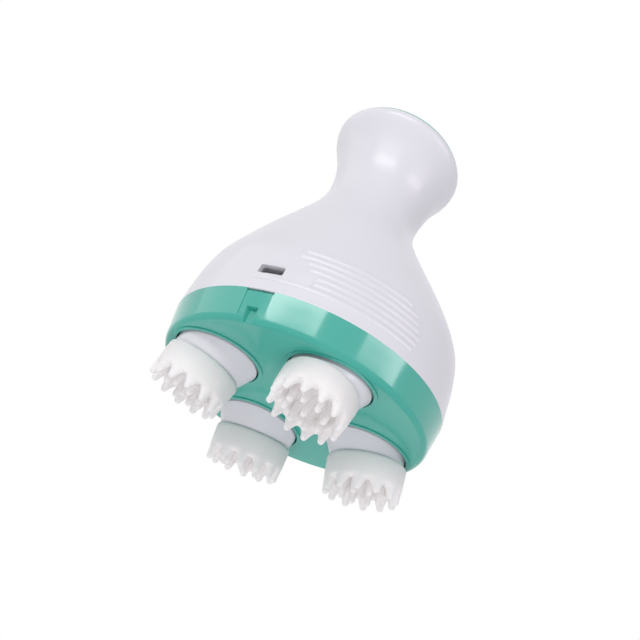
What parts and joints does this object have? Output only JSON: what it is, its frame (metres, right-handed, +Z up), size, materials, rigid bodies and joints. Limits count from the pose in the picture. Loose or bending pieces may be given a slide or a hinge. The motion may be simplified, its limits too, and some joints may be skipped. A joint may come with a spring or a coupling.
{
  "type": "electric scalp massager",
  "caption": "Palm-held scalp massager: bell-shaped housing with waisted handle, round base cover and leaning silicone finger heads turned by a geared motor.",
  "frame": {"origin": "centre of the bell, at the level of the lowest finger tips it stands on", "axes": "+Z up through the bell, -Y toward the charging socket (front), +X to the right seen from the front"},
  "size_m": [0.1, 0.1001, 0.1307],
  "materials": {
    "housing_white": "gloss, faintly lavender white",
    "teal": "gloss teal",
    "collar_white": "gloss white",
    "silicone": "soft translucent white silicone",
    "socket_grey": "dark grey",
    "seal_rubber": "black",
    "gear_plastic": "natural acetal",
    "chassis_plastic": "dark grey",
    "steel": "machined",
    "bronze": "sintered bronze",
    "board_green": "solder mask",
    "chip_black": "moulded package",
    "cell_wrap": "shrink wrap",
    "light_pipe": "clear pipe"
  },
  "bodies": {
    "base": {"housing_shell": "housing_white", "base_cover": "teal", "base_gasket": "seal_rubber", "lower_plate": "chassis_plastic", "upper_plate": "chassis_plastic", "plate_screws": "steel", "lower_bushes": "bronze", "upper_bushes": "bronze", "drive_bush": "bronze", "shaft_seals": "seal_rubber", "reduction_gearbox": "chassis_plastic", "motor_screws": "steel", "motor": "steel", "charging_socket": "steel", "socket_bezel": "socket_grey", "control_board": "board_green", "board_parts": "chip_black", "board_screws": "steel", "battery_cradle": "chassis_plastic", "battery_cell": "cell_wrap", "top_cap": "teal", "top_gasket": "seal_rubber", "key_board": "board_green", "key_screws": "steel", "key_switch": "chip_black", "status_light": "light_pipe"},
    "button": {"power_button": "teal"},
    "drive": {"drive_gear": "gear_plastic", "drive_shaft": "steel"},
    "head_front_left": {"head_gear_front_left": "gear_plastic", "head_shaft_front_left": "steel", "retaining_ring_front_left": "steel", "head_collar_front_left": "collar_white", "collar_screw_front_left": "steel", "head_cap_front_left": "silicone"},
    "head_front_right": {"head_gear_front_right": "gear_plastic", "head_shaft_front_right": "steel", "retaining_ring_front_right": "steel", "head_collar_front_right": "collar_white", "collar_screw_front_right": "steel", "head_cap_front_right": "silicone"},
    "head_back_left": {"head_gear_back_left": "gear_plastic", "head_shaft_back_left": "steel", "retaining_ring_back_left": "steel", "head_collar_back_left": "collar_white", "collar_screw_back_left": "steel", "head_cap_back_left": "silicone"},
    "head_back_right": {"head_gear_back_right": "gear_plastic", "head_shaft_back_right": "steel", "retaining_ring_back_right": "steel", "head_collar_back_right": "collar_white", "collar_screw_back_right": "steel", "head_cap_back_right": "silicone"}
  },
  "joints": [
    {"name": "power_button_press", "type": "slide", "parent": "base", "child": "button", "axis": [0, -0.2164, -0.9763], "range_m": [0, 0.0006], "stiffness_N_per_m": 3000, "springref_m": -0.0002},
    {"name": "drive_spin", "type": "hinge", "parent": "base", "child": "drive", "pos_m": [0, 0, 0.03208], "axis": [0, 0, 1], "continuous": true},
    {"name": "head_front_left_spin", "type": "hinge", "parent": "base", "child": "head_front_left", "pos_m": [-0.02157, -0.02157, 0.02008], "axis": [0, 0, 1], "continuous": true},
    {"name": "head_front_right_spin", "type": "hinge", "parent": "base", "child": "head_front_right", "pos_m": [0.02157, -0.02157, 0.02008], "axis": [0, 0, 1], "continuous": true},
    {"name": "head_back_left_spin", "type": "hinge", "parent": "base", "child": "head_back_left", "pos_m": [-0.02157, 0.02157, 0.02008], "axis": [0, 0, 1], "continuous": true},
    {"name": "head_back_right_spin", "type": "hinge", "parent": "base", "child": "head_back_right", "pos_m": [0.02157, 0.02157, 0.02008], "axis": [0, 0, 1], "continuous": true}
  ],
  "couplings": [
    {"joint": "head_front_left_spin", "follows": "drive_spin", "ratio": -1.1786},
    {"joint": "head_front_right_spin", "follows": "drive_spin", "ratio": -1.1786},
    {"joint": "head_back_left_spin", "follows": "drive_spin", "ratio": -1.1786},
    {"joint": "head_back_right_spin", "follows": "drive_spin", "ratio": -1.1786}
  ]
}
